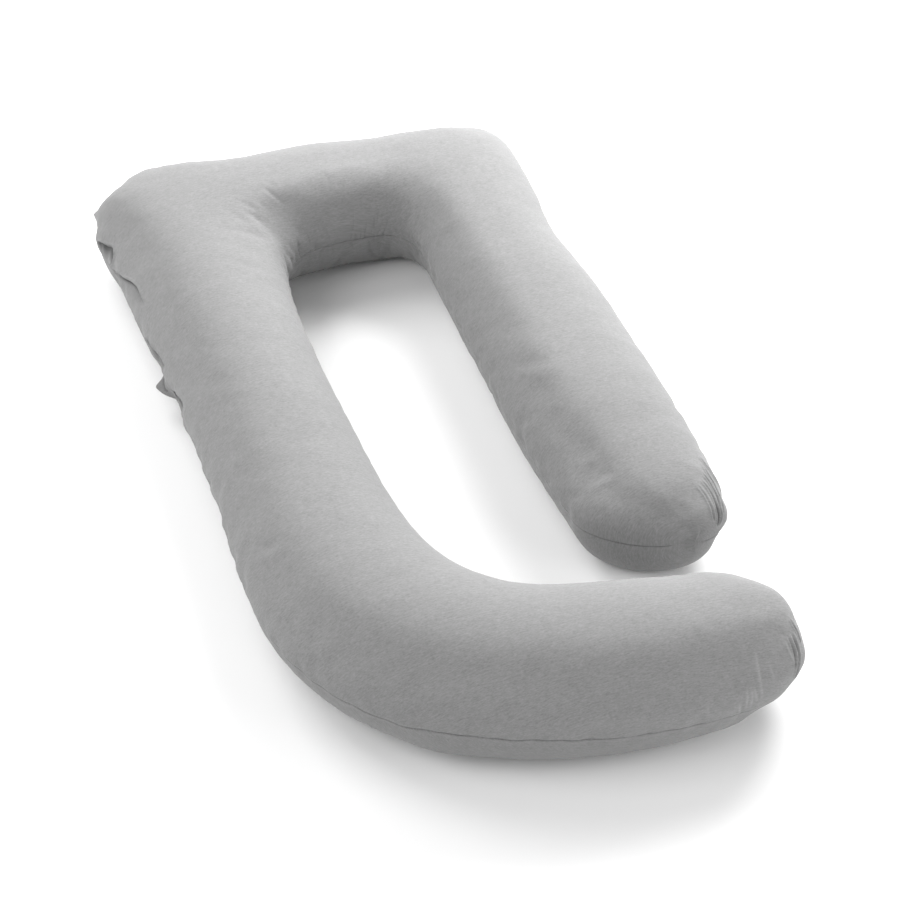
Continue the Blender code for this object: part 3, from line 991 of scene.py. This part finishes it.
def grey_jersey():
    """Heather jersey: two greys of yarn in short streaks along the courses, with fine knitted columns, and
    painted shade in the seam and creases with painted highlights beside them.
    """
    cloth = Material("grey_jersey")
    u, v = cloth.uv("fabric")
    way, above = cloth.uv("seam")
    crease = cloth.node("ShaderNodeAttribute", {"attribute_name": "crease"}).out("Fac")

    streaks = cloth.noise(cloth.vector(u * STREAKS[0], v * STREAKS[1]), 2.0, 0.6)
    flecks = cloth.noise(cloth.vector(u * FLECKS[0], v * FLECKS[1], 3.0), 1.0)
    mottle = cloth.noise(cloth.vector(u * MOTTLE[0], v * MOTTLE[1], 7.0), 2.0)
    heather = 0.5 + (streaks - 0.5) * 1.5 + (flecks - 0.5) * 1.5 + (mottle - 0.5) * 0.4

    column = abs((u / COLUMN).fraction() - 0.5) * 2
    loops = ((v / STITCH_ROW + column * 0.45) * (2 * math.pi)).sine()
    knit = (1 - column * column) * 0.6 + loops * 0.25
    # painted shade: darker in the seam groove and wherever the crease attribute is above 0
    painted_seam_and_crease_shade = (abs(above).step(0.0013, 0.0003) * 0.50 + crease.clamped() * 0.62).clamped()
    # painted highlight on the cloth just above the seam
    rim = above.step(0.0012, 0.0025) * above.step(0.0075, 0.0040)
    # mottled painted shade on the band of cloth just below the seam
    under = above.step(0.0, -0.002) * above.step(-0.05, -0.03)
    patchy = cloth.noise(cloth.vector(way * 70, above * 160, 11.0), 2.0)

    yarn = cloth.blend(heather.clamped(), grey(DARK_YARN), grey(LIGHT_YARN))
    # all the painted shade, which darkens the yarn toward the painted shade grey
    dark = (painted_seam_and_crease_shade + under * (patchy - 0.3) * 0.10).clamped()
    colour = cloth.blend(dark, yarn, grey(PAINTED_SHADE_GREY))
    # painted highlight above the seam, and where the crease attribute is below 0, on crease shoulders and
    # ridges
    colour = cloth.blend((rim * 0.14 - crease * 0.24).clamped(), colour, grey(PAINTED_HIGHLIGHT_GREY))
    cloth.finish("Base Color", colour)
    cloth.finish("Roughness", 0.82 + (flecks - 0.5) * 0.3)
    cloth.finish("Specular IOR Level", 0.25)
    cloth.finish("Sheen Weight", 0.14)
    cloth.finish("Sheen Roughness", 0.45)
    cloth.relief(knit * 0.6 + streaks * 0.3 + flecks * 0.5, 0.0003, 0.35)
    return cloth.material


# ---- seam stitches -------------------------------------------------------------------------------------

def thread():
    """Slightly darker sewing thread with a twist."""
    sewing = Material("seam_thread")
    place = sewing.node("ShaderNodeTexCoord").out("Object")
    twist = sewing.noise(sewing.node("ShaderNodeVectorMath", {"operation": "SCALE"}, {
        "Vector": place, "Scale": 1500.0}).out("Vector"), 1.0)
    sewing.finish("Base Color", sewing.blend(twist, *map(grey, SEWING_THREAD)))
    sewing.finish("Roughness", 0.55)
    sewing.relief(twist, 0.0001, 0.6)
    return sewing.material


def stitch_nodes():
    """Node tree that lays a stitch of thread at even steps along a line."""
    group = bpy.data.node_groups.new("seam_stitches", "GeometryNodeTree")
    for name, kind in (("Line", "Geometry"), ("Pitch", "Float"), ("Length", "Float"), ("Thickness", "Float"),
                       ("Thread", "Material")):
        group.interface.new_socket(name, in_out="INPUT", socket_type="NodeSocket" + kind)
    group.interface.new_socket("Stitches", in_out="OUTPUT", socket_type="NodeSocketGeometry")
    tree = Tree(group)
    given = tree.node("NodeGroupInput")
    thickness = given.out("Thickness")
    curve = tree.node("GeometryNodeMeshToCurve", None, {"Mesh": given.out("Line")})
    steps = tree.node("GeometryNodeResampleCurve", {"mode": "LENGTH"}, {
        "Curve": curve.out("Curve"), "Length": given.out("Pitch")})
    tangent = tree.node("GeometryNodeInputTangent").out("Tangent")
    turn = tree.node("FunctionNodeAlignRotationToVector", {"axis": "X"}, {"Vector": tangent})
    bead = tree.node("GeometryNodeMeshIcoSphere", None, {"Radius": 0.5, "Subdivisions": 2})
    uneven = tree.node("FunctionNodeRandomValue", {"data_type": "FLOAT"}, {2: 0.8, 3: 1.1, "Seed": 7}).out(1)
    laid = tree.node("GeometryNodeInstanceOnPoints", None, {
        "Points": steps.out("Curve"), "Instance": bead.out("Mesh"), "Rotation": turn.out("Rotation"),
        "Scale": tree.vector(given.out("Length") * uneven, thickness, thickness)})
    real = tree.node("GeometryNodeRealizeInstances", None, {"Geometry": laid.out("Instances")})
    dyed = tree.node("GeometryNodeSetMaterial", None, {
        "Geometry": real.out("Geometry"), "Material": given.out("Thread")})
    tree.node("NodeGroupOutput", None, {"Stitches": dyed.out("Geometry")})
    return group


def add_stitches(line):
    """Stitches of thread along the closed seam line."""
    count = len(line)
    data = bpy.data.meshes.new("seam_line")
    data.from_pydata(line.tolist(), [(k, (k + 1) % count) for k in range(count)], [])
    piece = placed("seam_stitches", data)
    made = piece.modifiers.new("stitches", "NODES")
    made.node_group = stitch_nodes()
    values = dict(STITCH, Thread=thread())
    for item in made.node_group.interface.items_tree:
        if item.name in values:
            made[item.identifier] = values[item.name]
    ready = piece.evaluated_get(bpy.context.evaluated_depsgraph_get())
    stitches = bpy.data.meshes.new_from_object(ready)
    piece.modifiers.clear()
    piece.data = stitches
    stitches.shade_smooth()
    return piece


# ---- studio --------------------------------------------------------------------------------------------

def add_camera():
    """Camera at the photograph's angle."""
    back = Vector((math.sin(AZIMUTH) * math.cos(ELEVATION), -math.cos(AZIMUTH) * math.cos(ELEVATION),
                   math.sin(ELEVATION)))
    data = bpy.data.cameras.new("camera")
    data.lens = LENS
    data.sensor_width = SENSOR
    piece = placed("camera", data)
    piece.location = AIM + back * DISTANCE
    piece.rotation_euler = (-back).to_track_quat("-Z", "Y").to_euler()
    bpy.context.scene.camera = piece


def soft_box(name, place, size, power):
    """Square area light that shines at the pillow."""
    data = bpy.data.lights.new(name, "AREA")
    data.shape = "SQUARE"
    data.size = size
    data.energy = power
    piece = placed(name, data)
    piece.location = place
    piece.rotation_euler = (Vector(place) - AIM).to_track_quat("Z", "Y").to_euler()


def add_studio():
    """Pale floor, soft boxes and an even pale surround."""
    world = bpy.data.worlds.new("studio")
    world.use_nodes = True
    world.node_tree.nodes["Background"].inputs["Color"].default_value = grey(1)
    world.node_tree.nodes["Background"].inputs["Strength"].default_value = SURROUND
    bpy.context.scene.world = world
    bpy.context.scene.view_settings.view_transform = "Standard"
    for name, place, size, power in LIGHTS:
        soft_box(name, place, size, power)
    data = bpy.data.meshes.new("floor")
    corners = [(x * FLOOR_HALF, y * FLOOR_HALF, FLOOR_LOW) for x, y in ((-1, -1), (1, -1), (1, 1), (-1, 1))]
    data.from_pydata(corners, [], [(0, 1, 2, 3)])
    floor = placed("floor", data)
    paint = Material("floor_paint")
    place = paint.node("ShaderNodeTexCoord").out("Object")
    paint.finish("Base Color", paint.blend(paint.noise(place), *map(grey, FLOOR_GREYS)))
    paint.finish("Roughness", 0.9)
    data.materials.append(paint.material)


add_camera()
add_studio()

cover_data, seam_line = shaped_cover()
cover = placed("pillow_cover", cover_data)
cover.data.materials.append(grey_jersey())

stitches = add_stitches(seam_line)

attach(cover, "root")
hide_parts("pillow")
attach(stitches, "root")
